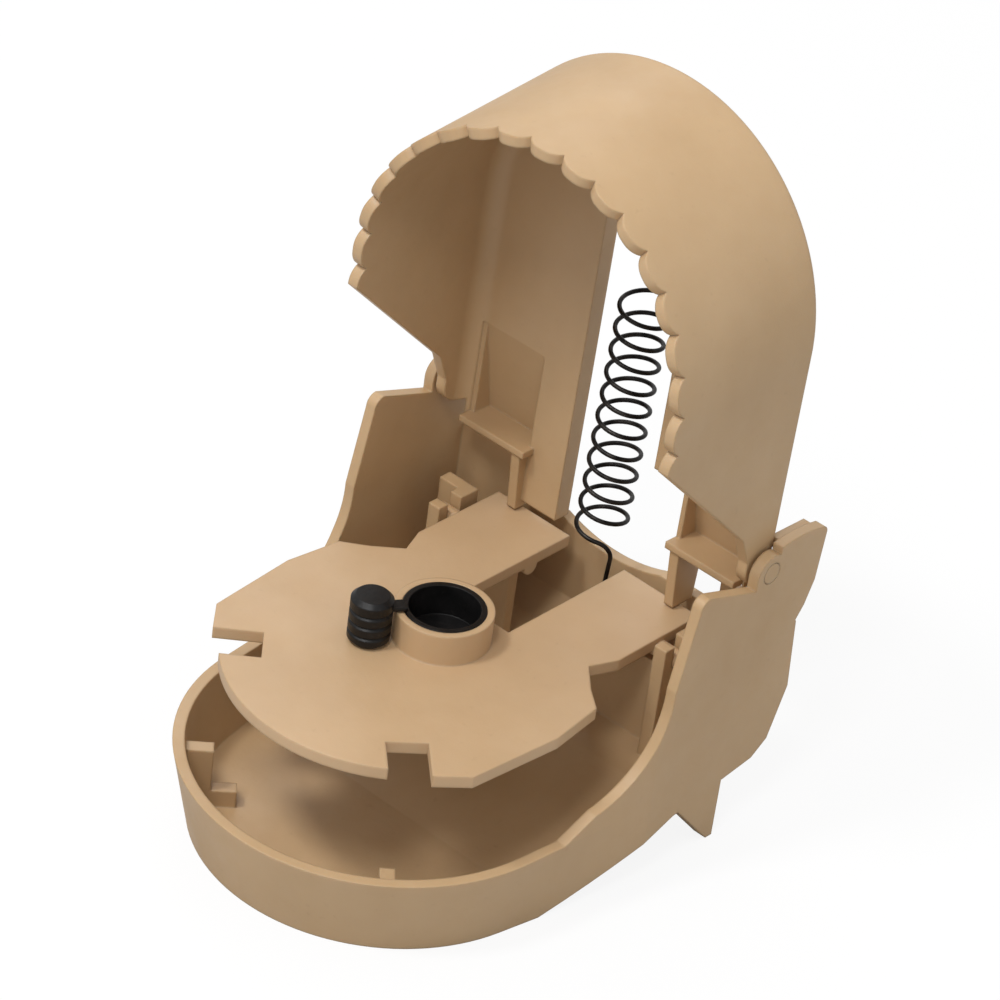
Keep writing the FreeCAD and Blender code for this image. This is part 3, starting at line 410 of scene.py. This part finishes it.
def lay_floor():
    """The table's square top, at height zero."""
    half = FLOOR_SIZE / 2
    corners = [(-half, -half, 0.0), (half, -half, 0.0), (half, half, 0.0), (-half, half, 0.0)]
    mesh = bpy.data.meshes.new("floor")
    mesh.from_pydata(corners, [], [(0, 1, 2, 3)])
    mesh.materials.append(floor_material())
    floor = bpy.data.objects.new("floor", mesh)
    bpy.context.scene.collection.objects.link(floor)


def studio_world():
    """An even pale sky, which the camera sees as white."""
    world = bpy.data.worlds.new("studio")
    bpy.context.scene.world = world
    world.use_nodes = True
    tree = world.node_tree
    tree.nodes.clear()
    output = tree.nodes.new("ShaderNodeOutputWorld")
    seen = tree.nodes.new("ShaderNodeBackground")
    unseen = tree.nodes.new("ShaderNodeBackground")
    switch = tree.nodes.new("ShaderNodeMixShader")
    path = tree.nodes.new("ShaderNodeLightPath")
    seen.inputs["Color"].default_value = WHITE
    seen.inputs["Strength"].default_value = 1.0
    unseen.inputs["Color"].default_value = WHITE
    unseen.inputs["Strength"].default_value = WORLD_STRENGTH
    tree.links.new(path.outputs["Is Camera Ray"], switch.inputs["Fac"])
    tree.links.new(unseen.outputs[0], switch.inputs[1])
    tree.links.new(seen.outputs[0], switch.inputs[2])
    tree.links.new(switch.outputs[0], output.inputs["Surface"])


def area_lamp(name, place, size, power, color=(1, 1, 1)):
    """A square lamp of size metres and power watts that points at the trap's middle."""
    data = bpy.data.lights.new(name, "AREA")
    data.size = size
    data.energy = power
    data.color = color
    lamp = bpy.data.objects.new(name, data)
    bpy.context.scene.collection.objects.link(lamp)
    lamp.location = place
    lamp.rotation_mode = "QUATERNION"
    lamp.rotation_quaternion = (Vector(MIDDLE) - Vector(place)).to_track_quat("-Z", "Y")


lay_floor()
studio_world()
area_lamp("key", (-0.15, -0.34, 0.69), 0.12, 2.3)
area_lamp("fill", (0.14, -0.38, 0.67), 0.15, 1.6)
area_lamp("sheen", (-0.40, 0.37, 0.56), 0.35, 0.6, (0.97, 0.98, 1.0))


# Camera, solved from the photograph's edges

AZIMUTH = math.radians(39.329)
ELEVATION = math.radians(34.687)
ROLL = math.radians(-7.559)
TARGET = (0, -2.75, 34.8)
DISTANCE = 449.24
SENSOR_WIDTH = 36.0
FOCAL_LENGTH = 157.77
SHIFT = (0.0553, 0.0395)
CLIP_START = 0.01
CLIP_END = 20.0


def photo_camera():
    """The camera at the photograph's viewing angle."""
    back = Vector((
        math.sin(AZIMUTH) * math.cos(ELEVATION),
        -math.cos(AZIMUTH) * math.cos(ELEVATION),
        math.sin(ELEVATION),
    ))
    level = Vector((math.cos(AZIMUTH), math.sin(AZIMUTH), 0))
    upright = back.cross(level)
    right = level * math.cos(ROLL) - upright * math.sin(ROLL)
    up = level * math.sin(ROLL) + upright * math.cos(ROLL)
    lens = bpy.data.cameras.new("camera")
    camera = bpy.data.objects.new("camera", lens)
    bpy.context.scene.collection.objects.link(camera)
    turn = Matrix((right, up, back)).transposed().to_4x4()
    place = Vector(TARGET) * MM + back * (DISTANCE * MM)
    camera.matrix_world = Matrix.Translation(place) @ turn
    lens.sensor_width = SENSOR_WIDTH
    lens.lens = FOCAL_LENGTH
    lens.shift_x, lens.shift_y = SHIFT
    lens.clip_start = CLIP_START
    lens.clip_end = CLIP_END
    return camera


bpy.context.scene.camera = photo_camera()
bpy.context.scene.view_settings.view_transform = "Standard"
